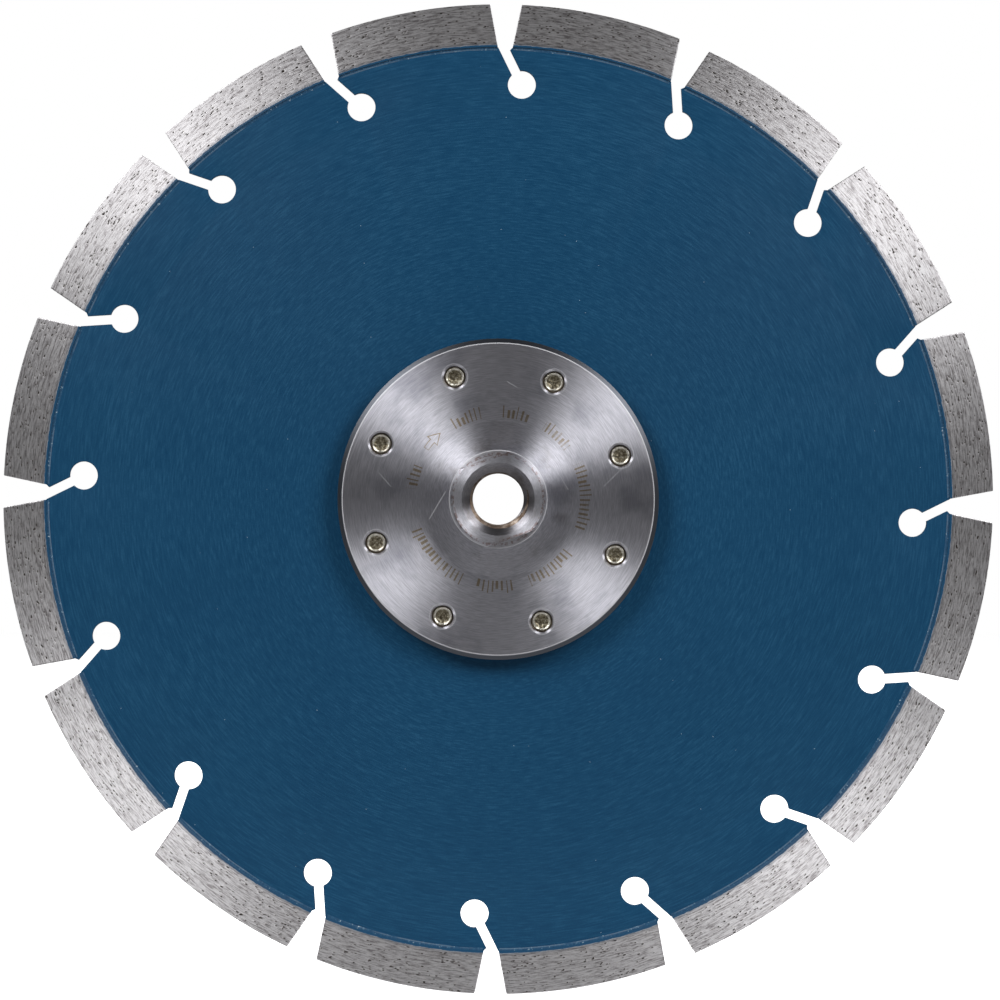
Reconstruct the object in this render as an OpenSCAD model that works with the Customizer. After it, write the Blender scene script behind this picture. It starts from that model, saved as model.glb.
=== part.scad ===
// Segmented diamond blade with a screw-on flange.
// The blade stands upright: it spins about the Y axis, its flange side faces -Y and +Z is up.
// The origin is on the spin axis, in the middle of the core's thickness.
// Every piece is first drawn lying flat, with its flange side up, and is then stood upright.

/* [Blade] */
// Diameter over the diamond segments
blade_d = 230; // [180:1:300]
// Number of diamond segments, and of slots between them
segment_count = 16; // [10:1:18]
// Turn of the first slot, clockwise from the top
slot_turn = 0.9; // [0:0.1:22]

/* [Segments] */
// Radial height of a segment
segment_h = 10; // [6:0.5:14]
// Thickness of a segment
segment_t = 2.6; // [2.2:0.1:4]
// Gap between the feet of neighbouring segments
segment_gap = 3.4; // [2.5:0.1:6]

/* [Core] */
// Thickness of the steel core
core_t = 1.8; // [1.4:0.1:2.4]
// Diameter of the core's centre bore
core_bore_d = 22.23; // [18:0.01:26]
// Width of a slot
slot_w = 2.2; // [1.5:0.1:3]
// Lean of a slot away from the radial line
slot_lean = 27; // [0:1:35]
// Shift of a slot's mouth from the middle of the gap, against the clock
slot_shift = 0.4; // [0:0.1:0.8]
// Diameter of the round hole at a slot's bottom
slot_hole_d = 6.5; // [4:0.1:9]
// Depth of that hole's centre below the core's rim
slot_depth = 8.6; // [7:0.1:14]
// Bevel on the clockwise corner of a slot's mouth
mouth_bevel = 0.6; // [0.2:0.1:1]

/* [Flange] */
// Diameter of the flange plate
flange_d = 74.4; // [70:0.1:90]
// Thickness of the flange plate
plate_t = 5; // [3.5:0.1:8]
// Bevel round the edge of the plate
plate_bevel = 1.1; // [0.5:0.1:2]
// Diameter where the low cone rises from the plate
cone_d = 36; // [30:0.5:44]
// Height of the low cone at the boss
cone_h = 0.8; // [0.2:0.1:1.5]
// Length of the spigot's step back from the core's cutting face
spigot_step = 0.1; // [0.05:0.05:0.4]
// Radial gap between the spigot and the core's bore
spigot_gap = 0.015; // [0.005:0.005:0.1]

/* [Boss] */
// Diameter of the boss
boss_d = 22.6; // [20.5:0.1:28]
// Height of the boss above the plate
boss_h = 8; // [6:0.1:14]
// Height and width of the crowned corner at the top of the boss
boss_crown = 0.8; // [0.2:0.1:1]
// Distance across the two wrench flats
flats_w = 19; // [18:0.1:20]
// Height of the wrench flats
flats_h = 6; // [3:0.1:7]
// Diameter of the countersink at the thread's mouth
mouth_d = 16.8; // [15:0.1:17.5]
// Nominal diameter of the spindle thread
thread_d = 14; // [10:1:14]
// Pitch of the spindle thread
thread_pitch = 2; // [1:0.25:2]

/* [Screws] */
// Number of flange screws
screw_count = 8; // [4:1:10]
// Diameter of the circle that the screws stand on
screw_circle_d = 60; // [48:0.5:62]
// Turn of the first screw, clockwise from the top
screw_turn = 25.4; // [0:0.1:45]
// Nominal diameter of a flange screw
screw_d = 5; // [4:0.5:6]
// Diameter of the countersunk head
screw_head_d = 9.2; // [8:0.1:11]
// Width across the flats of the head's hexagon socket
socket_w = 3; // [2:0.5:3.5]
// Depth of the hexagon socket
socket_h = 1.8; // [1:0.1:2.5]
// Distance from a screw's tip to the plate's face
tip_step = 0.8; // [0.3:0.1:1.5]
// Bevel round a screw's tip
tip_bevel = 0.4; // [0.2:0.1:0.8]
// Bevel at the mouth of a tapped hole
tap_bevel = 0.5; // [0.2:0.1:1]
// Radial gap between a screw's shank and its tapped hole
screw_gap = 0.02; // [0.01:0.01:0.1]

/* [Hidden] */
$fn = 128;
// Overlap that keeps a cutting shape clear of the face it cuts
past = 1;
core_r = blade_d / 2 - segment_h;
slot_pitch = 360 / segment_count;
// A segment's ends are parallel, and its foot spans what the gap leaves of one pitch
foot_half_angle = slot_pitch / 2 - asin(segment_gap / 2 / core_r);
segment_w = 2 * core_r * sin(foot_half_angle);
screw_pitch = 360 / screw_count;
// The flats face along the screw that comes before the first one
flats_turn = screw_turn - screw_pitch;
// Heights along the spin axis, from the middle of the core
cutting_z = -core_t / 2;
seat_z = core_t / 2;
plate_z = seat_z + plate_t;
boss_z = plate_z + boss_h;
ledge_z = boss_z - flats_h;
spigot_z = cutting_z + spigot_step;
tip_z = plate_z - tip_step;
spigot_r = core_bore_d / 2 - spigot_gap;
// An internal metric thread's crest lies 0.54127 of a pitch inside its nominal radius
thread_crest_r = thread_d / 2 - 0.54127 * thread_pitch;
// Right-angled countersinks are as deep as they narrow
mouth_h = mouth_d / 2 - thread_crest_r;
head_h = (screw_head_d - screw_d) / 2;
// The spigot's inner corner is bevelled by this share of the ring's thickness
spigot_bevel_share = 0.2;
spigot_bevel = (spigot_r - thread_crest_r) * spigot_bevel_share;

function segment_name(i) = str("segment_", i < 10 ? "0" : "", i);
function screw_name(i) = str("screw_", i);

// Stands a piece upright: what lay flat and faced up now faces -Y.
module stand_up() {
    rotate([90, 0, 0]) children();
}

// Turns a piece clockwise from the top, as seen from the flange side.
module clockwise(angle) {
    rotate([0, 0, -angle]) children();
}

// A right-angled countersink: a cone of radius r at height z that narrows upwards over h.
module countersink(r, z, h) {
    translate([0, 0, z]) cylinder(r1 = r, r2 = r - h, h = h);
}

// The countersunk hole that one flange screw needs through the core and the plate.
module screw_hole() {
    translate([0, 0, cutting_z - past]) cylinder(r = screw_d / 2, h = plate_z - cutting_z + 2 * past);
    countersink(screw_head_d / 2 + past, cutting_z - past, head_h + past);
}

// Puts a piece drawn on the axis at screw i's place.
module at_screw(i) {
    clockwise(screw_angle(i)) translate([0, screw_circle_d / 2, 0]) children();
}

module screw_holes() {
    for (i = [1 : screw_count]) at_screw(i) screw_hole();
}

function screw_angle(i) = screw_turn + (i - 1) * screw_pitch;
function slot_angle(i) = slot_turn + (i - 1) * slot_pitch;

// One keyhole slot in the flat: a round hole, and a straight cut that leans out to the rim.
module slot() {
    hole_x = slot_depth * tan(slot_lean) - slot_shift;
    hole_y = core_r - slot_depth;
    // Long enough to leave the rim at the slot's lean
    cut_h = slot_depth / cos(slot_lean) + 2 * slot_w;
    // The clockwise wall where the mouth's bevel starts
    bevel_x = slot_w / 2 / cos(slot_lean) + mouth_bevel * tan(slot_lean) - slot_shift;
    bevel_y = core_r - mouth_bevel;
    translate([hole_x, hole_y]) {
        circle(d = slot_hole_d);
        rotate(slot_lean) translate([-slot_w / 2, 0]) square([slot_w, cut_h]);
    }
    translate([bevel_x, bevel_y]) polygon([[0, 0], [past, past], [-slot_w, past]]);
}

module core() {
    color([0.12, 0.27, 0.38]) stand_up() difference() {
        translate([0, 0, cutting_z]) linear_extrude(height = core_t) difference() {
            circle(r = core_r);
            circle(d = core_bore_d);
            for (i = [1 : segment_count]) clockwise(slot_angle(i)) slot();
        }
        screw_holes();
    }
}

// A diamond segment stands on the core's rim, half way between two slots.
module segment(i) {
    color([0.6, 0.59, 0.6]) stand_up() clockwise(slot_angle(i) + slot_pitch / 2)
        translate([0, 0, -segment_t / 2]) linear_extrude(height = segment_t) intersection() {
            difference() {
                circle(d = blade_d);
                circle(r = core_r);
            }
            translate([-segment_w / 2, 0]) square([segment_w, blade_d]);
        }
}

// The flange as turned on a lathe, before drilling and milling: the profile from the axis outwards.
module turned_flange() {
    rotate_extrude() polygon([
        [thread_crest_r + spigot_bevel, spigot_z],
        [spigot_r, spigot_z],
        [spigot_r, seat_z],
        [flange_d / 2, seat_z],
        [flange_d / 2, plate_z - plate_bevel],
        [flange_d / 2 - plate_bevel, plate_z],
        [cone_d / 2, plate_z],
        [boss_d / 2, plate_z + cone_h],
        [boss_d / 2, boss_z],
        [mouth_d / 2, boss_z],
        [thread_crest_r, boss_z - mouth_h],
        [thread_crest_r, spigot_z + spigot_bevel]
    ]);
}

// What the lathe takes off the boss's corner: the crown lies on a sphere through the wall and the end face.
module boss_corner_cut() {
    difference() {
        translate([0, 0, boss_z - boss_crown - past]) cylinder(r = boss_d / 2 + past, h = boss_crown + 2 * past);
        translate([0, 0, boss_z - boss_d / 2]) sphere(r = norm([boss_d / 2, boss_d / 2 - boss_crown]));
    }
}

// What the milling cutter takes off the boss to leave one wrench flat.
module flat_cut() {
    translate([-boss_d / 2, flats_w / 2, ledge_z]) cube([boss_d, boss_d, flats_h + past]);
}

module flange() {
    color([0.72, 0.72, 0.74]) stand_up() difference() {
        turned_flange();
        boss_corner_cut();
        clockwise(flats_turn) flat_cut();
        clockwise(flats_turn + 180) flat_cut();
        screw_holes();
        for (i = [1 : screw_count]) at_screw(i) tap_mouth();
    }
}

// The bevelled mouth of a tapped hole in the plate's face.
module tap_mouth() {
    translate([0, 0, plate_z - tap_bevel])
        cylinder(r1 = screw_d / 2, r2 = screw_d / 2 + tap_bevel + past, h = tap_bevel + past);
}

// A countersunk screw, head down at the cutting face, with its tip short of the plate's face.
module screw(i) {
    shank_r = screw_d / 2 - screw_gap;
    color([0.74, 0.72, 0.62]) stand_up() at_screw(i) difference() {
        rotate_extrude() polygon([
            [0, cutting_z],
            [screw_head_d / 2, cutting_z],
            [shank_r, cutting_z + screw_head_d / 2 - shank_r],
            [shank_r, tip_z - tip_bevel],
            [shank_r - tip_bevel, tip_z],
            [0, tip_z]
        ]);
        translate([0, 0, cutting_z - past]) cylinder(d = socket_w / cos(30), h = socket_h + past, $fn = 6);
    }
}

core();
flange();
for (i = [1 : segment_count]) segment(i);
for (i = [1 : screw_count]) screw(i);
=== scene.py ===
# %% [markdown]
# # A diamond blade for an angle grinder, bolted to its own threaded flange
#
# The blade is a thin lacquered steel core with sixteen sintered diamond segments welded to its rim. Eight
# countersunk screws hold the core to a turned steel flange, whose boss threads straight onto a grinder's spindle.
# The CAD model of all 26 pieces is the frame. Blender's work is what the eye reads on them: turned and ground
# surfaces, pits and grit, real threads, the weld seam, and paint that runs over the segments' feet.

# %% Load the CAD frame
import math

import bmesh
import bpy
import numpy as np
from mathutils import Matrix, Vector
from mathutils.geometry import delaunay_2d_cdt


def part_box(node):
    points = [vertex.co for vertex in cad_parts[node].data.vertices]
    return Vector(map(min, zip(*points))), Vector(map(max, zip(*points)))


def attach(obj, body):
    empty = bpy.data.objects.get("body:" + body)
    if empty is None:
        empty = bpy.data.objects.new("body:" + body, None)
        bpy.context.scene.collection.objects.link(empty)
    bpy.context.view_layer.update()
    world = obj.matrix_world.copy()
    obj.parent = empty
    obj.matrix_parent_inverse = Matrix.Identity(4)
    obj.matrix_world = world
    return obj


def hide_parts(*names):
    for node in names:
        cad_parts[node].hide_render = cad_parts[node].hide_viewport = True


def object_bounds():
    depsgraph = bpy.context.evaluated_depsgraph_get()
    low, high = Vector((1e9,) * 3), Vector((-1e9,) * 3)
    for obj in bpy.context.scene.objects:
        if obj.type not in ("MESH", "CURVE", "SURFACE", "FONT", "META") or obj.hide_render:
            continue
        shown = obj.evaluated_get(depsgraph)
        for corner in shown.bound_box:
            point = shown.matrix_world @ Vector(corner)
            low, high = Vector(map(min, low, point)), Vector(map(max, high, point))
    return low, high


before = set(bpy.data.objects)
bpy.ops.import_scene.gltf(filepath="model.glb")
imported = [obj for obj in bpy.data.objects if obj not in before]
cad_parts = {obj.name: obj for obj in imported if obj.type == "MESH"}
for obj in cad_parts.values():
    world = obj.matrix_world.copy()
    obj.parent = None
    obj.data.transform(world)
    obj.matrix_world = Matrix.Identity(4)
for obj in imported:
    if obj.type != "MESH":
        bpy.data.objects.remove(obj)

cad_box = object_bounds()
print("CAD box in metres:", [[round(float(v), 5) for v in corner] for corner in cad_box])

# %% [markdown]
# ## Sizes
#
# The blade is drawn lying flat, in millimetres: x to the right, y up, z towards the flange side, and every angle
# clockwise from the top. One turn then stands it up in the frame, where the spin axis is Y and the flange faces
# -Y. Sizes that a CAD node's box can tell are read from it, so the picture can't drift from the CAD.

# %% Sizes in millimetres
def size_of(name):
    """The lowest and highest corners of a CAD node in the flat drawing: world x, z and -y, in millimetres."""
    low, high = np.array(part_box(name)) * 1000
    return [float(v) for v in (low[0], low[2], -high[1])], [float(v) for v in (high[0], high[2], -low[1])]


blade_r = float(cad_box[1][0]) * 1000
_, (core_r, _, half_core) = size_of("core")
half_segment = size_of("segment_01")[1][2]
(_, _, spigot_z), (flange_r, _, boss_z) = size_of("flange")
(screw_left, screw_low, _), (screw_right, screw_high, tip_z) = size_of("screw_1")
head_r = (screw_right - screw_left) / 2
screw_ring_r = math.hypot(screw_left + screw_right, screw_low + screw_high) / 2

segment_count, slot_turn, segment_gap = 16, 0.9, 3.4
slot_w, slot_lean, slot_shift = 2.2, math.radians(27), 0.4
slot_hole_r, slot_depth, mouth_bevel = 3.25, 8.6, 0.6
core_bore_r, spigot_r = 11.115, 11.1
plate_z, plate_bevel, cone_r, cone_z = 5.9, 1.1, 18.0, 6.7
boss_r, boss_crown, half_flats, ledge_z = 11.3, 0.8, 9.5, 7.9
mouth_r, thread_crest_r, thread_r, thread_pitch = 8.4, 5.9175, 7.0, 2.0
spigot_bevel = 0.2 * (spigot_r - thread_crest_r)
screw_count, screw_turn, screw_r, shank_r = 8, 25.4, 2.5, 2.48
socket_w, socket_h, tip_bevel, tap_bevel, screw_pitch = 3.0, 1.8, 0.4, 0.5, 0.8
screw_points = 48  # points round each screw and its hole

segment_angles = np.radians(slot_turn + (np.arange(segment_count) + 0.5) * 360 / segment_count)
slot_angles = np.radians(slot_turn + np.arange(segment_count) * 360 / segment_count)
screw_angles = np.radians(screw_turn + np.arange(screw_count) * 360 / screw_count)
screw_places = [(screw_ring_r * math.sin(angle), screw_ring_r * math.cos(angle)) for angle in screw_angles]
flats_angle = math.radians(screw_turn - 360 / screw_count)
half_foot = math.pi / segment_count - math.asin(segment_gap / 2 / core_r)
half_width = core_r * math.sin(half_foot)
print("core radius", round(core_r, 2), "blade radius", round(blade_r, 2), "segment width", round(2 * half_width, 2))
print("screws stand on a circle of radius", round(screw_ring_r, 2), "and their tips at height", round(tip_z, 2))

# %% [markdown]
# ## From formulas to meshes
#
# Every new piece is a set of grids: rows and columns of points that numpy works out at once. A grid could be
# joined by hand in Edit Mode, or by a Weld modifier, but here one function merges the points that coincide. It
# leaves a closed skin, turns its faces outwards, and prints the volume and the number of open edges as proof.

# %% Grids, joined into closed skins
def polar(r, angle, z):
    """x = r sin(angle), y = r cos(angle): angles run clockwise from the top."""
    r, angle, z = np.broadcast_arrays(r, angle, z)
    return np.stack([r * np.sin(angle), r * np.cos(angle), z], -1)


def grid(points, zone=0, flat=False):
    """Quads between neighbouring rows and columns; the last column meets the first."""
    rows, columns = points.shape[:2]
    index = np.arange(rows * columns).reshape(rows, columns)
    index = np.concatenate([index, index[:, :1]], 1)
    quads = np.stack([index[:-1, :-1], index[:-1, 1:], index[1:, 1:], index[1:, :-1]], -1).reshape(-1, 4)
    return points.reshape(-1, 3), quads, zone, flat


def fan(ring, centre):
    """Triangles from each side of a ring to one centre point."""
    n = len(ring)
    faces = np.stack([np.arange(n), (np.arange(n) + 1) % n, np.full(n, n)], -1)
    return np.concatenate([ring, [centre]]), faces, 0, False


def join(parts):
    """Points that agree to a ten-thousandth of a millimetre become one, and faces left without width go."""
    points = np.concatenate([part[0] for part in parts])
    points, first, merged = np.unique(np.round(points, 4) + 0.0, axis=0, return_index=True, return_inverse=True)
    merged = merged.ravel()
    faces, zones, flats = [], [], []
    start = 0
    for own, corners, zone, flat in parts:
        corners = merged[corners + start]
        start += len(own)
        zone = np.broadcast_to(zone, len(corners))
        doubled = corners == np.roll(corners, -1, 1)
        for lost in (0, 1):
            kept = doubled.sum(1) == lost
            if kept.any() and corners.shape[1] - lost > 2:
                left = corners[kept][~doubled[kept]].reshape(kept.sum(), -1)
                faces += left.tolist()
                zones.append(zone[kept])
                flats.append(np.full(kept.sum(), flat))
    return points, faces, np.concatenate(zones), np.concatenate(flats), first


def make_piece(name, parts, materials, sharp=32, values=None):
    """Builds the object in metres in the frame: world = (x, -z, y) / 1000."""
    points, faces, zones, flats, first = join(parts)
    mesh = bpy.data.meshes.new(name)
    mesh.from_pydata(np.stack([points[:, 0], -points[:, 2], points[:, 1]], -1) * 0.001, [], faces)
    for material in materials:
        mesh.materials.append(material)
    mesh.polygons.foreach_set("material_index", zones.astype(np.int32))
    mesh.polygons.foreach_set("use_smooth", ~flats)
    for key, numbers in (values or {}).items():
        layer = mesh.attributes.new(key, "FLOAT", "POINT")
        layer.data.foreach_set("value", numbers[first].astype(np.float32))
    skin = bmesh.new()
    skin.from_mesh(mesh)
    bmesh.ops.recalc_face_normals(skin, faces=skin.faces)
    volume = skin.calc_volume(signed=True) * 1e9
    skin.to_mesh(mesh)
    skin.free()
    mesh.set_sharp_from_angle(angle=math.radians(sharp))
    edge_of = np.empty(len(mesh.loops), np.int32)
    mesh.loops.foreach_get("edge_index", edge_of)
    open_edges = int((np.bincount(edge_of) != 2).sum())
    triangles = len(mesh.loops) - 2 * len(mesh.polygons)
    print(f"{name}: {triangles} triangles, {volume:.1f} mm3, {open_edges} open edges")
    piece = bpy.data.objects.new(name, mesh)
    bpy.context.collection.objects.link(piece)
    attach(piece, "root")
    return piece


# %% Flat faces with holes, and softened edges
def circle(r, count, x=0.0, y=0.0):
    """Points round a circle, anticlockwise, so that the metal round a hole lies on the right of the walk."""
    turn = -np.arange(count) * 2 * np.pi / count
    return np.stack([x + r * np.sin(turn), y + r * np.cos(turn)], -1)


def sheet(loops, z):
    """Triangles that fill the outlines; one stays if a line from its middle crosses them an odd number of times."""
    points = np.concatenate(loops)
    starts = np.cumsum([0] + [len(loop) for loop in loops])
    ends = np.concatenate([np.roll(np.arange(a, b), -1) for a, b in zip(starts, starts[1:])])
    edges = np.stack([np.arange(len(points)), ends], -1)
    _, _, faces, came_from, _, _ = delaunay_2d_cdt(points.tolist(), edges.tolist(), [], 0, 1e-6)
    faces = np.array([source[0] for source in came_from])[np.array(faces)]
    x, y = points[faces].mean(1).T
    a, b = points[edges[:, 0]], points[edges[:, 1]]
    straddles = (a[:, 1] > y[:, None]) != (b[:, 1] > y[:, None])
    rise = np.where(b[:, 1] == a[:, 1], 1, b[:, 1] - a[:, 1])
    crossing = a[:, 0] + (y[:, None] - a[:, 1]) * (b[:, 0] - a[:, 0]) / rise
    inside = (straddles & (crossing > x[:, None])).sum(1) % 2 == 1
    return np.column_stack([points, np.full(len(points), z)]), faces[inside], 0, True


def inset(loop, distance):
    """Moves each point to the right of the walk, by the two neighbouring sides' normals over 1 + their cosine."""
    step = np.roll(loop, -1, 0) - loop
    right = np.stack([step[:, 1], -step[:, 0]], -1) / np.linalg.norm(step, axis=1)[:, None]
    before = np.roll(right, 1, 0)
    bend = 1 + (right * before).sum(1)
    return loop + distance * (right + before) / bend[:, None]


def wall(loop, high, low, edge):
    """Carries a rounded edge, a straight wall and a second rounded edge along an outline."""
    turn = np.radians([0, 22.5, 45, 67.5, 90])
    across = edge * (1 - np.sin(turn))
    down = edge * (1 - np.cos(turn))
    insets = np.concatenate([across, across[::-1]])
    heights = np.concatenate([high - down, low + down[::-1]])
    rings = [np.column_stack([inset(loop, across), np.full(len(loop), z)]) for across, z in zip(insets, heights)]
    return grid(np.stack(rings))


def soften(profile, edge):
    """Rounds a profile's inner corners with (1-t)^2 A + 2t(1-t) P + t^2 B, and adds a point on either side."""
    profile = np.asarray(profile, float)
    t = np.linspace(0, 1, 4)[:, None]
    rounded = [profile[:1]]
    for before, corner, after in zip(profile, profile[1:], profile[2:]):
        back = (before - corner) / np.linalg.norm(before - corner)
        on = (after - corner) / np.linalg.norm(after - corner)
        a, b = corner + back * edge, corner + on * edge
        curve = (1 - t) ** 2 * a + 2 * t * (1 - t) * corner + t ** 2 * b
        rounded += [(corner + back * 2 * edge)[None], curve, (corner + on * 2 * edge)[None]]
    return np.concatenate(rounded + [profile[-1:]])


# %% Seeded unevenness
def smooth_noise(seed, u, v):
    """Random numbers from 0 to 1 on whole-number corners, blended by 3t^2 - 2t^3 in both directions."""
    table = np.random.default_rng(seed).random((256, 256))
    column, row = np.floor(u).astype(int), np.floor(v).astype(int)
    a, b = u - column, v - row
    a, b = a * a * (3 - 2 * a), b * b * (3 - 2 * b)
    low = table[column % 256, row % 256] * (1 - a) + table[(column + 1) % 256, row % 256] * a
    high = table[column % 256, (row + 1) % 256] * (1 - a) + table[(column + 1) % 256, (row + 1) % 256] * a
    return low * (1 - b) + high * b


def pits(seed, u, v, count, u_range, v_range, long_r, short_r):
    """The highest of many bumps 1 - d^2, where d is the distance from a random centre in an ellipse's radii."""
    random = np.random.default_rng(seed)
    centre_u = random.uniform(*u_range, count)
    centre_v = random.uniform(*v_range, count)
    radius_u = random.uniform(*long_r, count)
    radius_v = random.uniform(*short_r, count)
    depth = random.uniform(0.5, 1, count)
    deepest = np.zeros(np.broadcast(u, v).shape)
    for cu, cv, ru, rv, d in zip(centre_u, centre_v, radius_u, radius_v, depth):
        deepest = np.maximum(deepest, d * (1 - ((u - cu) / ru) ** 2 - ((v - cv) / rv) ** 2))
    return deepest

# %% [markdown]
# ## Materials
#
# Each finish is a Principled shader with node patterns in Object coordinates, so it looks the same from every
# side and survives baking. Nearly all the marks on this object run round the axis: turning grooves, grinding
# lines and the wear of sintering. So one pair of helpers turns a point into its distance from the axis and its
# direction, and noise is read at (direction x length, distance x fineness), which has no seam at the top.

# %% Colour and node helpers
def rgb(hex_code):
    """sRGB hex to linear: c / 12.92 below 0.04045, and ((c + 0.055) / 1.055) ^ 2.4 above it."""
    parts = [int(hex_code[i:i + 2], 16) / 255 for i in (1, 3, 5)]
    return tuple(c / 12.92 if c < 0.04045 else ((c + 0.055) / 1.055) ** 2.4 for c in parts) + (1.0,)


def feed(tree, node, feeds):
    """Fills a node's inputs, by name or from the top down, with a number, a hex colour or another node's output.

    From the top down, noise takes a vector, a scale, detail and roughness, and a map range takes a value, the two
    numbers it runs from, and the two it runs to.
    """
    inputs = [socket for socket in node.inputs if socket.enabled]
    for key, value in (feeds.items() if isinstance(feeds, dict) else enumerate(feeds)):
        socket = inputs[key] if isinstance(key, int) else next(s for s in inputs if s.name == key)
        if isinstance(value, bpy.types.Node):
            value = next(s for s in value.outputs if s.enabled)
        if isinstance(value, bpy.types.NodeSocket):
            tree.links.new(value, socket)
        else:
            socket.default_value = rgb(value) if isinstance(value, str) else value


def add(tree, kind, feeds=(), stops=None, **settings):
    """Adds a node with its settings and links; "Math ADD" is a Math node whose main setting is ADD."""
    kind, _, mode = kind.partition(" ")
    node = tree.nodes.new("ShaderNode" + kind)
    if mode:
        settings[{"Mix": "data_type", "MapRange": "interpolation_type"}.get(kind, "operation")] = mode
    for name, value in settings.items():
        setattr(node, name, value)
    if stops:
        ramp = node.color_ramp
        while len(ramp.elements) < len(stops):
            ramp.elements.new(0.5)
        for element, (place, colour) in zip(ramp.elements, stops):
            element.position = place
            element.color = rgb(colour) if isinstance(colour, str) else (colour, colour, colour, 1)
    feed(tree, node, feeds)
    return node


def new_material(name):
    """A material with one Principled shader; returns it, its tree and the shader."""
    material = bpy.data.materials.new(name)
    material.use_nodes = True
    tree = material.node_tree
    return material, tree, tree.nodes["Principled BSDF"]


def made(material):
    """Prints the size of a finished material's tree and hands the material on."""
    print(material.name.split(".")[0], "has", len(material.node_tree.nodes), "nodes")
    return material


def axis_place(tree):
    """A point's position in millimetres, the part of it across the axis, and its distance from the axis."""
    where = add(tree, "TexCoord").outputs["Object"]
    place = add(tree, "VectorMath SCALE", {0: where, "Scale": 1000.0})
    across = add(tree, "VectorMath MULTIPLY", [place, (1, 0, 1)])
    return place, across, add(tree, "VectorMath LENGTH", [across])


def ring_noise(tree, across, distance, turn_mm, radial_mm, detail=3.0):
    """Noise stretched round the axis: the direction times a length, beside the distance over the spacing."""
    direction = add(tree, "VectorMath NORMALIZE", [across])
    round_axis = add(tree, "VectorMath SCALE", {0: direction, "Scale": turn_mm})
    outwards = add(tree, "CombineXYZ", {1: add(tree, "Math MULTIPLY", [distance, 1 / radial_mm])})
    place = add(tree, "VectorMath ADD", [round_axis, outwards])
    return add(tree, "TexNoise", [place, 1.0, detail, 0.6])


def groove_tangent(tree, across):
    """Stretches the highlight across the grooves: the surface normal crossed with the direction round the axis."""
    round_axis = add(tree, "VectorMath CROSS_PRODUCT", [(0, 1, 0), across])
    normal = add(tree, "NewGeometry").outputs["Normal"]
    return add(tree, "VectorMath CROSS_PRODUCT", [normal, round_axis])


def step_mask(tree, value, low, high, top=1.0):
    """0 below low, the top value above high, and a smooth step between."""
    return add(tree, "MapRange SMOOTHSTEP", [value, low, high, 0.0, top])


def combine(tree, operation, *masks):
    """MULTIPLY keeps what all the masks share; MAXIMUM keeps what any of them covers."""
    whole = masks[0]
    for mask in masks[1:]:
        whole = add(tree, "Math " + operation, [whole, mask])
    return whole


def lay_over(tree, colour, layers):
    """Each layer covers the colour below it as far as its mask lets it, in the order they came to the surface."""
    for mask, over in layers:
        colour = add(tree, "Mix RGBA", {0: mask, "A": colour, "B": over})
    return colour

# %% [markdown]
# ### Satin lacquer over ground steel
#
# The core is sheet steel, ground in circles and sprayed a deep blue. The lacquer is thin, so the grinding lines
# still show as faint lighter dashes and as a fine unevenness in the shine, with a speck of dust here and there.

# %% Core lacquer
def paint_the_core():
    """Blue base, short arcs of lighter and darker blue, and a shine that the ground steel below makes uneven."""
    material, tree, shader = new_material("core_lacquer")
    place, across, distance = axis_place(tree)
    arcs = ring_noise(tree, across, distance, 24.0, 0.3, 1.0)
    grain = add(tree, "TexNoise", [place, 2.4, 2.0, 0.7])
    clouds = add(tree, "TexNoise", [place, 0.03, 2.0])
    fine = add(tree, "Mix FLOAT", [0.3, arcs, grain])
    tone = add(tree, "Mix FLOAT", [0.15, fine, clouds])
    blue = add(tree, "ValToRGB", [tone], [(0.36, LACQUER_DARK), (0.52, LACQUER), (0.66, LACQUER_LIGHT)])
    # A band inside the rim is a shade paler
    inner, outer = step_mask(tree, distance, 82.0, 92.0, 0.03), step_mask(tree, distance, 103.0, 96.0)
    paler = combine(tree, "MULTIPLY", inner, outer)
    dust = add(tree, "TexVoronoi", [place, 0.22])
    speck = add(tree, "Math LESS_THAN", [dust, 0.02])
    # Grinding lines a few thousandths of a millimetre deep, drawn three times as far apart as a 180 grit belt's
    lines = add(tree, "Bump", {"Strength": 0.35, "Distance": 0.00001, "Height": arcs})
    feed(tree, shader, {"Base Color": lay_over(tree, blue, [(paler, "#2b5673"), (speck, "#8fa3b3")]),
                        "Roughness": add(tree, "MapRange", [fine, 0.3, 0.7, 0.36, 0.5]), "Normal": lines,
                        "Tangent": groove_tangent(tree, across), "Anisotropic": 0.4, "Specular IOR Level": 0.15})
    return made(material)


LACQUER_DARK, LACQUER, LACQUER_LIGHT = "#0f3b5a", "#134160", "#1c4b6a"
core_lacquer = paint_the_core()

# %% [markdown]
# ### Turned, milled and threaded steel
#
# The flange is bare steel. On the lathe its faces got concentric grooves that pull every highlight out into a
# radial fan, so the shader is anisotropic across the grooves. The two wrench flats are milled, with straight
# feed marks, and the thread is darker and browner, where oil and the first rust sit. A laser annealed the
# maker's data into a tan ring; only its rhythm is kept here, as groups of plain bars and one outline arrow.

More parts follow.
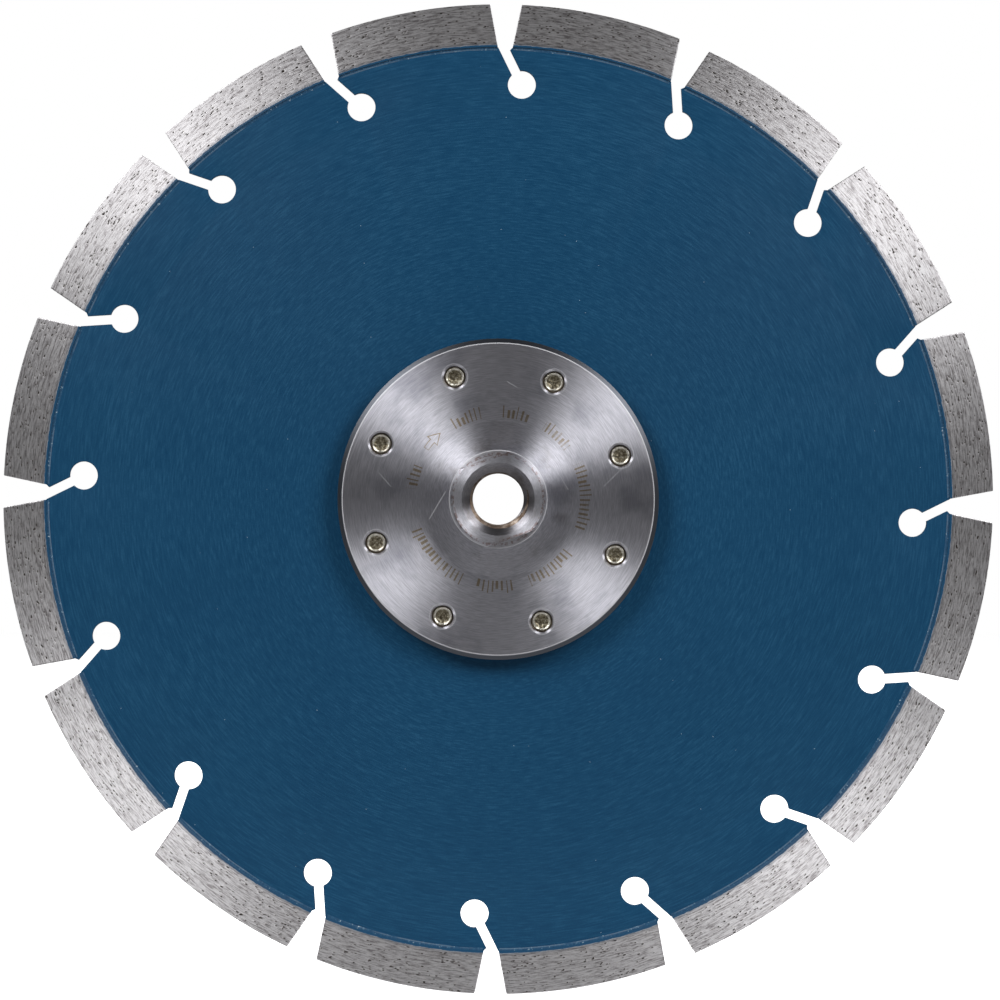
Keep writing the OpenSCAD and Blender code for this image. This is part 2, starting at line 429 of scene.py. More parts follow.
# %% Laser marks on the flange
def laser_marks(tree, across, distance):
    """Groups of tan bars on a ring 18.9 to 21.9 mm from the axis, and an arrow that shows the way it turns."""
    parts = add(tree, "SeparateXYZ", [across])
    angle = add(tree, "Math ARCTAN2", [parts.outputs[0], parts.outputs[2]])
    turn = add(tree, "Math FRACT", [add(tree, "Math MULTIPLY", [angle, 1 / (2 * math.pi)])])
    groups = [(2, 20), (32, 53), (65, 110), (124, 158), (169, 195), (203, 249), (277, 292), (327, 348)]
    edges = [(0.0, 0.0)] + [(angle / 360, value) for a, b in groups for angle, value in ((a, 1.0), (b, 0.0))]
    in_group = add(tree, "ValToRGB", [turn], edges)
    in_group.color_ramp.interpolation = "CONSTANT"
    # 116 bars round the ring stand 1.1 mm apart, and chance sets each one's width and height
    count = add(tree, "Math MULTIPLY", [turn, 116.0])
    chance = add(tree, "TexWhiteNoise", {"W": add(tree, "Math FLOOR", [count])}, noise_dimensions="1D")
    width = add(tree, "MapRange", [chance, 0.0, 1.0, 0.2, 0.62])
    bar = add(tree, "Math LESS_THAN", [add(tree, "Math FRACT", [count]), width])
    below_top = add(tree, "Math LESS_THAN", [distance, add(tree, "MapRange", [chance, 0.0, 1.0, 21.9, 20.6])])
    above_foot = add(tree, "Math GREATER_THAN", [distance, 18.9])
    bars = combine(tree, "MULTIPLY", bar, below_top, above_foot, in_group)
    # The arrow's half height along its length: a shaft, then a head that narrows to the tip
    along = add(tree, "MapRange", [turn, 304 / 360, 320 / 360])
    off_line = add(tree, "Math ABSOLUTE", [add(tree, "Math SUBTRACT", [distance, 20.3])])
    off_line = add(tree, "Math MULTIPLY", [off_line, 1 / 1.7])
    shapes = ([(0.05, 0.0), (0.051, 0.42), (0.45, 0.42), (0.451, 1.0), (0.95, 0.0)],
              [(0.09, 0.0), (0.091, 0.28), (0.49, 0.28), (0.491, 0.76), (0.87, 0.0)])
    outer, inner = (add(tree, "Math LESS_THAN", [off_line, add(tree, "ValToRGB", [along], shape)])
                    for shape in shapes)
    return combine(tree, "MAXIMUM", bars, add(tree, "Math SUBTRACT", [outer, inner]))


def scratch(tree, place, start, end, width):
    """1 on the line from start to end, falling to 0 a width away from the line's nearest point."""
    start, end = (np.array([x, 0.0, y]) for x, y in (start, end))
    way = end - start
    offset = add(tree, "VectorMath SUBTRACT", [place, tuple(start)])
    offset = add(tree, "VectorMath MULTIPLY", [offset, (1, 0, 1)])
    share = add(tree, "Clamp", [add(tree, "VectorMath DOT_PRODUCT", [offset, tuple(way / way.dot(way))])])
    nearest = add(tree, "VectorMath SCALE", {0: tuple(way), "Scale": share})
    gap = add(tree, "VectorMath DISTANCE", [offset, nearest])
    return add(tree, "MapRange", [gap, 0.0, width, 1.0, 0.0])


# %% Turned steel
def turn_the_steel():
    """Grey steel with concentric grooves, uneven shine, stains, rust, laser marks and a few scratches, with painted
    shade on the bevel, the side and the countersink and painted highlights along edges.
    """
    material, tree, shader = new_material("turned_steel")
    place, across, distance = axis_place(tree)
    grooves = ring_noise(tree, across, distance, 9.0, 0.15)
    bands = ring_noise(tree, across, distance, 0.9, 1.6, 2.0)
    stains = add(tree, "TexNoise", [place, 0.16, 5.0, 0.6])
    steel = add(tree, "ValToRGB", [grooves], [(0.36, STEEL_DARK), (0.64, STEEL_LIGHT)])
    clouds = add(tree, "TexNoise", [place, 0.09, 6.0])
    clouded = step_mask(tree, clouds, 0.48, 0.7, 0.5)
    # The bevel and the side are duller than the face, and their darker, bluer grey is painted shade and a painted
    # reflection of the blue core
    face_r = flange_r - plate_bevel
    side = step_mask(tree, distance, face_r + 0.1, face_r + 0.25)
    near_boss = step_mask(tree, distance, 20.0, 12.0)
    stained = combine(tree, "MULTIPLY", step_mask(tree, stains, 0.52, 0.72, 0.4), near_boss)
    # Painted shade darkens the countersink to a brown grey, most of all beside the thread
    in_mouth = step_mask(tree, distance, mouth_r + 0.05, mouth_r - 0.05)
    to_thread = add(tree, "MapRange", [distance, mouth_r, thread_crest_r, 0.25, 1.0])
    countersink_shade = combine(tree, "MULTIPLY", to_thread, in_mouth, 0.7)
    # Rust has begun along the edge between the boss's end face and its crown, and along the two flats
    on_boss = add(tree, "Math LESS_THAN", [distance, boss_r - 0.2])
    crown_edge = add(tree, "Math COMPARE", [distance, boss_r - boss_crown, 0.35])
    to_flat = add(tree, "VectorMath DOT_PRODUCT", [across, (math.sin(flats_angle), 0, math.cos(flats_angle))])
    flat_edge = add(tree, "Math COMPARE", [add(tree, "Math ABSOLUTE", [to_flat]), half_flats - 0.15, 0.3])
    edges = combine(tree, "MAXIMUM", crown_edge, combine(tree, "MULTIPLY", flat_edge, on_boss))
    rust = add(tree, "TexNoise", [place, 1.1, 5.0, 0.7])
    rusted = combine(tree, "MULTIPLY", step_mask(tree, rust, 0.46, 0.58, 0.65), edges)
    # The laser marks stand on the plate and the cone, and wear has thinned them in places
    outside = add(tree, "Math LESS_THAN", [add(tree, "SeparateXYZ", [place]).outputs[1], -plate_z + 0.4])
    worn = step_mask(tree, stains, 0.25, 0.5, 0.72)
    marks = combine(tree, "MULTIPLY", laser_marks(tree, across, distance), worn, outside)
    # Painted highlights, pale matt lines, run where the tool left the face and the boss and round the screws'
    # holes;
    # torn metal in scratches, and a little on the end face, which the spindle's shoulder has dulled, scatters light
    # as pale matt metal does
    face_edge_highlight = combine(tree, "MULTIPLY", add(tree, "Math COMPARE", [distance, face_r, 0.12]), 0.75)
    boss_edge_highlight = combine(tree, "MULTIPLY", add(tree, "Math COMPARE", [distance, boss_r - 0.02, 0.13]), 0.7)
    mouth_highlight = add(tree, "Attribute", attribute_name="mouth_highlight").outputs["Fac"]
    dulled = combine(tree, "MULTIPLY", add(tree, "Math SUBTRACT", [on_boss, in_mouth]), 0.12)
    scratches = [((-15.9, -4.5), (-12.2, 1.7), 0.15), ((-14.4, 5.2), (-12.6, 9.4), 0.08),
                 ((13.0, 7.5), (16.2, 2.2), 0.07), ((24.5, 3.0), (28.9, 7.4), 0.06),
                 ((-27.6, 6.1), (-24.8, 2.9), 0.06), ((2.1, 27.2), (4.4, 25.8), 0.07)]
    cuts = [combine(tree, "MULTIPLY", scratch(tree, place, *ends, width), 0.7) for *ends, width in scratches]
    highlights_and_scratches = combine(tree, "MAXIMUM", face_edge_highlight, boss_edge_highlight, mouth_highlight, dulled, *cuts)
    layers = [(clouded, "#7d7e8a"), (side, "#767980"), (stained, "#6b5f54"), (countersink_shade, "#625a55"),
              (rusted, "#6d3f2b"), (marks, "#86703f"), (highlights_and_scratches, "#c9c9cc")]
    shine = add(tree, "MapRange", [add(tree, "Mix FLOAT", [0.5, grooves, bands]), 0.3, 0.7, 0.43, 0.5])
    for mask, rougher in ((stained, 0.25), (side, 0.08)):
        shine = add(tree, "Math MULTIPLY_ADD", [mask, rougher, shine])
    # Turning marks from a feed of about 0.16 mm a turn
    bump = add(tree, "Bump", {"Strength": 0.4, "Distance": 0.00001, "Height": grooves})
    feed(tree, shader, {"Base Color": lay_over(tree, steel, layers), "Roughness": shine, "Normal": bump,
                        "Metallic": add(tree, "Math SUBTRACT", [1.0, highlights_and_scratches]),
                        "Tangent": groove_tangent(tree, across), "Anisotropic": 0.96})
    return made(material)


STEEL_DARK, STEEL_LIGHT = "#adadb5", "#cdccd4"
turned_steel = turn_the_steel()

# %% Milled flats and the thread
def mill_the_steel():
    """Straight feed marks 0.25 mm apart, with brown stains."""
    material, tree, shader = new_material("milled_steel")
    place = axis_place(tree)[0]
    turned = add(tree, "Mapping", {"Vector": place, "Rotation": (0, flats_angle, 0)})
    stretched = add(tree, "VectorMath MULTIPLY", [turned, (0.35, 4.0, 1.0)])
    lines = add(tree, "TexNoise", [stretched, 1.0, 3.0])
    stains = add(tree, "TexNoise", [place, 0.5, 4.0])
    colour = add(tree, "ValToRGB", [stains], [(0.35, "#b9b9bb"), (0.58, "#a09c99"), (0.72, "#776a61")])
    bump = add(tree, "Bump", {"Strength": 0.4, "Distance": 0.00002, "Height": lines})
    feed(tree, shader, {"Base Color": colour, "Metallic": 1.0, "Normal": bump,
                        "Roughness": add(tree, "MapRange", [lines, 0.0, 1.0, 0.28, 0.5])})
    return made(material)


def darken_the_thread():
    """Oiled steel: noise round the axis and in spots mixes grey with rust brown."""
    material, tree, shader = new_material("thread_steel")
    place, across, distance = axis_place(tree)
    flecks = ring_noise(tree, across, distance, 3.0, 0.5)
    spots = add(tree, "TexNoise", [place, 0.9, 5.0, 0.65])
    mixed = add(tree, "Mix FLOAT", [0.5, flecks, spots])
    colour = add(tree, "ValToRGB", [mixed], [(0.34, "#3b2f27"), (0.5, "#63564c"), (0.64, "#8f857c")])
    bump = add(tree, "Bump", {"Strength": 0.4, "Distance": 0.00002, "Height": mixed})
    feed(tree, shader, {"Base Color": colour, "Metallic": 1.0, "Normal": bump,
                        "Roughness": add(tree, "MapRange", [spots, 0.0, 1.0, 0.6, 0.4])})
    return made(material)


milled_steel = mill_the_steel()
thread_steel = darken_the_thread()

# %% [markdown]
# ### Yellow-passivated zinc
#
# The screws are zinc plated and passivated, which tints the plating from straw to green. Tool slips, the
# sheared tip and thread oil break the tint up, so it is patchy at about a millimetre.

# %% Zinc on the screws
def plate_the_screws():
    """Straw and green tints mixed by noise, on a smooth pale rim round the dark, rough end of the wire."""
    material, tree, shader = new_material("zinc_screw")
    place = axis_place(tree)[0]
    patches = add(tree, "TexNoise", [place, 1.7, 5.0, 0.65])
    grain = add(tree, "TexNoise", [place, 4.5, 3.0])
    rim = add(tree, "ValToRGB", [patches], [(0.35, "#a9a496"), (0.62, "#dedbd1")])
    ends = [(0.34, "#3a3227"), (0.47, "#6b6353"), (0.58, "#918a77"), (0.7, "#c8c5ba")]
    end = add(tree, "ValToRGB", [patches], ends)
    sheared = add(tree, "Attribute", attribute_name="sheared").outputs["Fac"]
    bump = add(tree, "Bump", {"Strength": 0.8, "Distance": 0.00006, "Height": grain})
    feed(tree, shader, {"Base Color": lay_over(tree, rim, [(sheared, end)]), "Metallic": 1.0, "Normal": bump,
                        "Roughness": add(tree, "MapRange", [grain, 0.0, 1.0, 0.22, 0.55])})
    return made(material)


zinc_screw = plate_the_screws()

# %% [markdown]
# ### Sintered diamond bond
#
# A segment is metal powder pressed and sintered round diamond grit, then ground on its faces. It shines like a
# ground metal, but is peppered with pits where grit or powder pulled out, painted dark inside as shade, with a
# painted highlight round their edges. The blue lacquer was sprayed after welding: it covers each foot and thins out
# to a ragged mist above it.

# %% Diamond bond and the painted foot
def sinter_the_bond():
    """Ground bond with painted shade in the modelled pits and a painted highlight round them, painted glints on
    grit, and lacquer below a ragged height.
    """
    material, tree, shader = new_material("diamond_bond")
    place, across, distance = axis_place(tree)
    streaks = ring_noise(tree, across, distance, 46.0, 0.27, 2.0)
    grain = add(tree, "TexNoise", [place, 2.6, 4.0, 0.7])
    mixed = add(tree, "Mix FLOAT", [0.2, streaks, grain])
    bond = add(tree, "ValToRGB", [mixed], [(0.36, BOND_DARK), (0.46, BOND), (0.58, BOND_LIGHT)])
    pit = add(tree, "Attribute", attribute_name="pit").outputs["Fac"]
    # A pale ring round each pit's rim is a painted highlight
    edge = add(tree, "ValToRGB", [pit], [(0.0, 0.0), (0.1, 0.45), (0.25, 0.0)])
    # The pits' dark brown floors are painted shade
    shaded_pit = step_mask(tree, pit, 0.12, 0.42)
    # Grit of 0.3 to 0.4 mm, a few grains to each square millimetre, of which one in seven gets a painted glint
    grit = add(tree, "TexVoronoi", [place, 1.3])
    chance = add(tree, "SeparateColor", [grit.outputs["Color"]])
    chosen = add(tree, "Math GREATER_THAN", [chance, 0.86])
    grit_glint = combine(tree, "MULTIPLY", chosen, add(tree, "Math LESS_THAN", [grit, 0.24]), 0.25)
    # The lacquer's edge runs about half a millimetre up the foot, and its mist reaches 1.3 mm
    ragged = add(tree, "TexNoise", [place, 0.7, 5.0, 0.6])
    shift = add(tree, "Math SUBTRACT", [ragged, 0.5])
    height = add(tree, "Math MULTIPLY_ADD", [shift, 0.5, add(tree, "Math SUBTRACT", [distance, core_r])])
    painted = step_mask(tree, height, 0.7, 0.45)
    cover = combine(tree, "MAXIMUM", painted, step_mask(tree, height, 1.35, 0.5, 0.4))
    colour = lay_over(tree, bond, [(edge, "#e4e2df"), (shaded_pit, "#4d4744"), (grit_glint, "#f4efe6"), (cover, LACQUER)])
    shine = add(tree, "MapRange", [mixed, 0.3, 0.7, 0.48, 0.6])
    bump = add(tree, "Bump", {"Strength": 0.3, "Distance": 0.00003, "Height": mixed})
    feed(tree, shader, {"Base Color": colour, "Metallic": add(tree, "Math SUBTRACT", [1.0, painted]),
                        "Roughness": add(tree, "Math MULTIPLY_ADD", [shaded_pit, 0.3, shine]), "Normal": bump,
                        "Tangent": groove_tangent(tree, across), "Anisotropic": 0.93})
    return made(material)


BOND_DARK, BOND, BOND_LIGHT = "#9d989a", "#cfccce", "#edebed"
diamond_bond = sinter_the_bond()


# %% Weld seam
def paint_the_weld():
    """The same lacquer, worn to bright steel on the highest ripples, with a painted highlight along parts of the
    bead's inner ridge.
    """
    material, tree, shader = new_material("painted_weld")
    place, across, distance = axis_place(tree)
    ripples = ring_noise(tree, across, distance, 210.0, 0.8)
    # A painted highlight runs along part of the bead's inner ridge
    ridge = add(tree, "Math COMPARE", [distance, core_r - 0.5, 0.13])
    ridge_highlight = step_mask(tree, ring_noise(tree, across, distance, 12.0, 9.0, 2.0), 0.42, 0.52, 0.15)
    worn = combine(tree, "MAXIMUM", step_mask(tree, ripples, 0.62, 0.72), combine(tree, "MULTIPLY", ridge, ridge_highlight))
    paint = add(tree, "ValToRGB", [ripples], [(0.35, LACQUER_DARK), (0.55, "#1b4868"), (0.7, "#35617d")])
    feed(tree, shader, {"Base Color": lay_over(tree, paint, [(worn, "#a9b4bb")]),
                        "Roughness": add(tree, "MapRange", [ripples, 0.0, 1.0, 0.5, 0.3])})
    return made(material)


painted_weld = paint_the_weld()

# %% [markdown]
# ## The core
#
# The core is laser-cut sheet, so its shape is one outline: the rim, broken by sixteen keyhole slots that lean
# 27 degrees and end in a round relief hole. It could be cut with Boolean modifiers, but those leave long thin
# triangles along every edge. Here the outline is worked out from its lines and circles, its edges are rounded
# by 0.12 mm as deburring does, and the two flat faces are filled between the outlines and kept flat shaded.

# %% Outline of the core
def reach_rim(start, way):
    """How far along a line the rim lies: the larger root of |start + t way| = core radius."""
    b = start @ way
    return -b + math.sqrt(b * b - start @ start + core_r ** 2)


def slot_path():
    """The top slot, walked clockwise: down the left wall, round the hole, up the right wall, over its bevel."""
    hole = np.array([slot_depth * math.tan(slot_lean) - slot_shift, core_r - slot_depth])
    up = np.array([-math.sin(slot_lean), math.cos(slot_lean)])
    side = np.array([math.cos(slot_lean), math.sin(slot_lean)])
    half = slot_w / 2
    neck = math.sqrt(slot_hole_r ** 2 - half ** 2)
    left_foot, right_foot = hole + up * neck - side * half, hole + up * neck + side * half
    left_top = left_foot + up * reach_rim(left_foot, up)
    bevel_y = core_r - mouth_bevel
    bevel = np.array([half / math.cos(slot_lean) + mouth_bevel * math.tan(slot_lean) - slot_shift, bevel_y])
    out = np.array([1, 1]) / math.sqrt(2)
    right_top = bevel + out * reach_rim(bevel, out)
    t = np.linspace(0, 1, 9)[:-1, None]
    spread = math.asin(half / slot_hole_r)
    turn = np.linspace(math.pi / 2 + slot_lean + spread, 2.5 * math.pi + slot_lean - spread, 57)[:-1]
    ring = hole + slot_hole_r * np.stack([np.cos(turn), np.sin(turn)], -1)
    return np.concatenate([left_top + t * (left_foot - left_top), ring, right_foot + t * (bevel - right_foot),
                           bevel + np.array([[0.0], [0.5], [1.0]]) * (right_top - bevel)])


def core_outline():
    """The slot, then the rim to the next slot, repeated round the axis."""
    slot = slot_path()
    start = math.atan2(slot[-1, 0], slot[-1, 1])
    end = 2 * math.pi / segment_count + math.atan2(slot[0, 0], slot[0, 1])
    rim = np.linspace(start, end, 66)[1:-1]
    pitch = np.concatenate([slot, core_r * np.stack([np.sin(rim), np.cos(rim)], -1)])
    turn = slot_angles[:, None]
    x = pitch[:, 0] * np.cos(turn) + pitch[:, 1] * np.sin(turn)
    y = pitch[:, 1] * np.cos(turn) - pitch[:, 0] * np.sin(turn)
    return np.stack([x, y], -1).reshape(-1, 2)


outline = core_outline()
print("core outline:", len(outline), "points, reaching", round(float(np.hypot(*outline.T).max()), 3), "mm")

# %% Build the core
def build_core():
    """Rounded edge bands round the outline and the bore, cone-shaped screw holes, and two flat faces."""
    edge = 0.12
    bore = circle(core_bore_r, 120)
    parts = [wall(outline, half_core, -half_core, edge), wall(bore, half_core, -half_core, edge)]
    back_holes, front_holes = [], []
    for x, y in screw_places:
        rows = [(head_r + 0.1, -half_core), (head_r - 0.05, -half_core + 0.05), (head_r - 2 * half_core, half_core)]
        rings = [circle(r, screw_points, x, y) for r, _ in rows]
        cone = [np.column_stack([ring, np.full(screw_points, z)]) for ring, (_, z) in zip(rings, rows)]
        parts.append(grid(np.stack(cone)))
        back_holes.append(rings[0])
        front_holes.append(rings[-1])
    parts.append(sheet([inset(outline, edge), inset(bore, edge)] + front_holes, half_core))
    parts.append(sheet([inset(outline, edge), inset(bore, edge)] + back_holes, -half_core))
    return make_piece("lacquered_core", parts, [core_lacquer])


core = build_core()
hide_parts("core")

# %% [markdown]
# ## The segments
#
# A segment is a curved bar: concentric top and foot, parallel ends. A displacement modifier could roughen it,
# but it knows nothing of grinding direction. So the surface is a loop of points round the bar's cross-section,
# carried along its width, and each point is sunk along its normal by streaks, ripple and elliptical pits that
# lie round the axis. The pit depth is also kept as an attribute, so the material paints shade into exactly those
# hollows and a highlight round their rims.

# %% Surface of one segment
# The loop's points: rows up each face and across the top, then the places of its two top corners and its back foot
rise_rows, top_rows = 74, 13
front_top, back_top = rise_rows - 1, rise_rows + top_rows + 4
back_foot = back_top + rise_rows - 1


def section_loop(edge):
    """Round the cross-section from the foot up the front, over the top, down the back and under the foot."""
    foot, top, side = core_r + edge, blade_r - edge, half_segment - edge
    rise, thick = np.linspace(foot, top, rise_rows), np.linspace(side, -side, top_rows)
    turn = np.radians([30, 60])
    bend_out, bend_in = edge * np.sin(turn), edge * np.cos(turn)
    distance = np.concatenate([rise, top + bend_out, np.full(top_rows, blade_r), top + bend_in, rise[::-1],
                               foot - bend_out, np.full(top_rows, core_r), foot - bend_in])
    height = np.concatenate([np.full(rise_rows, half_segment), side + bend_in, thick, -side - bend_out,
                             np.full(rise_rows, -half_segment), -side - bend_in, thick[::-1], side + bend_out])
    return distance, height


def relief(seed, x, distance, height):
    """How deep each point is sunk, in millimetres, and how deep in a pit it stands, from 0 to 1."""
    side = 20 * np.sign(np.round(height, 3))
    streaks = smooth_noise(seed, x / 5 + side + 100, distance / 0.22)
    ripple = smooth_noise(seed + 50, x / 0.7 + 100, distance / 0.45 + side)
    depth = np.zeros(x.shape)
    width = (-half_width, half_width)
    for number, sign in ((100, 1), (200, -1)):
        on_side = pits(seed + number, x, distance, 120, width, (core_r + 1, blade_r), (0.22, 0.52), (0.09, 0.17))
        depth = np.where(height * sign > half_segment - 0.25, on_side, depth)
    on_top = pits(seed + 300, x, height, 26, width, (-half_segment, half_segment), (0.3, 0.6), (0.15, 0.3))
    depth = np.where(distance > blade_r - 0.06, on_top, depth)
    return 0.01 * streaks + 0.01 * ripple + 0.07 * depth, depth


def build_segment(number):
    """Columns across the width, rounded ends, and end caps whose loops shrink towards the bar's mid-plane."""
    edge = 0.14
    distance, height = section_loop(edge)
    turn = np.radians([90, 60, 30, 0])
    ends = half_width - edge + edge * np.cos(turn)
    along = np.linspace(-half_width + edge, half_width - edge, 184)[1:-1]
    rounding = edge * (1 - np.sin(turn))
    cap = np.array([0.35, 0.65, 0.95, 1.22])
    last = np.full(len(cap), ends[-1])
    x = np.concatenate([-last, -ends[::-1], along, ends, last])[:, None]
    end_inset = np.concatenate([cap[::-1] + edge / 2, rounding[::-1], 0 * along, rounding, cap + edge / 2])[:, None]
    end_inset = np.minimum(end_inset, half_segment - 0.04)
    middle, half_h = (blade_r + core_r) / 2, (blade_r - core_r) / 2
    bar_height = height * (half_segment - end_inset) / half_segment
    bar_distance = middle + (distance - middle) * (half_h - end_inset) / half_h
    x, bar_distance, bar_height = np.broadcast_arrays(x, bar_distance, bar_height)
    sunk, pit = relief(1000 * number, x, bar_distance, bar_height)
    fade = np.where(end_inset > edge, 0, 1)
    rough_end = 0.07 * smooth_noise(number, bar_distance / 0.4, bar_height / 0.4 + 7)
    x = np.where(np.abs(x) > half_width - edge / 2, x - np.sign(x) * rough_end, x)
    on_face = np.abs(height) > half_segment - edge / 2
    bar_height = bar_height - np.where(on_face, np.sign(height) * sunk * fade, 0)
    bar_distance = bar_distance - np.where(distance > blade_r - edge / 2, sunk * fade, 0)
    y = np.sqrt(bar_distance ** 2 - x ** 2)
    angle = segment_angles[number - 1]
    sin, cos = math.sin(angle), math.cos(angle)
    points = np.stack([x * cos + y * sin, y * cos - x * sin, bar_height], -1)
    parts = [grid(points)]
    front = np.arange(rise_rows)
    back = back_foot - front
    strip = np.stack([front[:-1], front[1:], back[1:], back[:-1]], -1)
    for column in (points[0], points[-1]):
        top, foot = np.arange(front_top, back_top + 1), np.append(np.arange(back_foot, len(column)), 0)
        parts += [(column, faces, 0, False) for faces in (strip, top[None], foot[None])]
    return make_piece(f"diamond_segment_{number:02d}", parts, [diamond_bond], 40, {"pit": (pit * fade).reshape(-1)})


# %% Build the sixteen segments
for number in range(1, segment_count + 1):
    segment = build_segment(number)
    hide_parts(f"segment_{number:02d}")

# %% [markdown]
# ## The weld seam
#
# A laser welds each segment's foot to the core from both sides and leaves a narrow rippled bead in the corner.
# It is a fillet: a small closed section, carried round the foot, whose height ripples every half millimetre.

# %% Build the weld seam
def weld_bead(centre_angle, side, seed):
    """A seven-sided section carried along the foot: its skin rises by ripples and its ends taper off."""
    t = np.linspace(-1, 1, 150)
    zero = 0 * t
    angle = centre_angle + t * (half_foot - 0.002)
    taper = np.clip((1 - np.abs(t)) * 30, 0.15, 1)
    ripple = smooth_noise(seed, t * half_width / 0.5 + 90, zero + 0.5) * taper
    slow = smooth_noise(seed + 1, t * half_width / 3 + 90, zero + 0.5)
    outer, inner = core_r + 0.06, core_r - 0.55 - 0.2 * slow
    rows = [(outer, zero - 0.12), (inner, zero - 0.12), (inner, zero), (inner + 0.18, 0.03 * taper + 0.02 * ripple),
            (outer - 0.3, 0.05 * (taper + ripple)), (outer - 0.12, 0.08 * (taper + ripple)), (outer, 0.13 * taper)]
    section = np.stack([polar(r + zero, angle, side * (half_core + h)) for r, h in rows], 1)
    ends = [fan(section[i], section[i].mean(0)) for i in (0, -1)]
    return [grid(section)] + ends


beads = []
for number, angle in enumerate(segment_angles):
    beads += weld_bead(angle, 1, 500 + 2 * number) + weld_bead(angle, -1, 600 + 2 * number)
weld_seam = make_piece("weld_seam", beads, [painted_weld], 50)

# %% [markdown]
# ## The flange
#
# The flange is a lathe part that was drilled, tapped and milled afterwards, and is built in the same order. Its
# profile is turned round the axis on shared columns. Above the ledge each radius is cut to r = min(r, 9.5 mm /
# |cos|), which is a plane a set distance from the axis: the wrench flats. The bore's radius depends on angle
# and height together, which winds a real M14 thread, and the plate's two flat faces are filled round the holes.

# %% Threads
def thread_depth(angle, z, pitch, depth):
    """A 60 degree thread's trapezoid, wound by one pitch a turn: flat crest, slope, flat root, slope."""
    turn = (z / pitch + angle / (2 * math.pi)) % 1
    return depth * np.clip((0.5 - np.abs(turn - 0.5)) / 0.3125 - 0.4, 0, 1)


columns = np.radians(np.arange(0, 360, 2.0))
corner = math.acos(half_flats / boss_r)
corners = np.array([flats_angle + half_turn + sign * corner for half_turn in (0, math.pi) for sign in (-1, 1)])
columns = np.sort(np.concatenate([columns, corners % (2 * math.pi)]))
print("flange columns:", len(columns), "- flats' corners at", np.degrees(corners % (2 * math.pi)).round(1))


def cut_to_flats(r):
    """Nothing stands further from the axis than the two flats' planes."""
    return np.minimum(r, half_flats / np.maximum(np.abs(np.cos(columns - flats_angle)), 0.1))


# %% Build the flange
turned, milled, threaded = 0, 1, 2  # the order of the flange's materials


def turned_rows(profile, cut=False):
    """One ring of points for each (radius, height) of a profile, cut to the flats where asked."""
    return np.stack([polar(cut_to_flats(r) if cut else r, columns, z) for r, z in profile])


def tapped_hole(x, y):
    """From the bevelled mouth through two turns of thread down to the countersunk back."""
    z = np.concatenate([[plate_z] * 3, np.linspace(plate_z - tap_bevel + 0.03, 3.9, 26), [1.2, half_core]])
    turn = -np.arange(screw_points) * 2 * np.pi / screw_points
    r = np.maximum(screw_r, screw_r + z - plate_z + tap_bevel)
    r[:2] += (0.2, 0.1)
    r[-1] = screw_r + 0.3
    groove = thread_depth(-turn, z[:, None], screw_pitch, 0.22) * ((z > 3.95) & (z < plate_z - tap_bevel))[:, None]
    r = np.maximum(r[:, None], screw_r + groove)
    return polar(r, turn, z[:, None]) + np.array([x, y, 0])


def bore_surface():
    """Thread, front countersink and back bevel: at each angle and height the widest of the three."""
    z = np.concatenate([[spigot_z], np.linspace(spigot_z + 0.05, boss_z - 0.05, 116), [boss_z]])[:, None]
    thread = thread_crest_r + thread_depth(columns, z, thread_pitch, thread_r - thread_crest_r)
    mouth = mouth_r - (boss_z - z)
    back = thread_crest_r + spigot_bevel - (z - spigot_z)
    r = np.maximum(np.maximum(thread, mouth), back)
    smooth = np.maximum(mouth, back) >= thread
    zone = np.where(smooth[:-1] & smooth[1:], turned, threaded)
    return polar(r, columns, z), zone.reshape(-1)


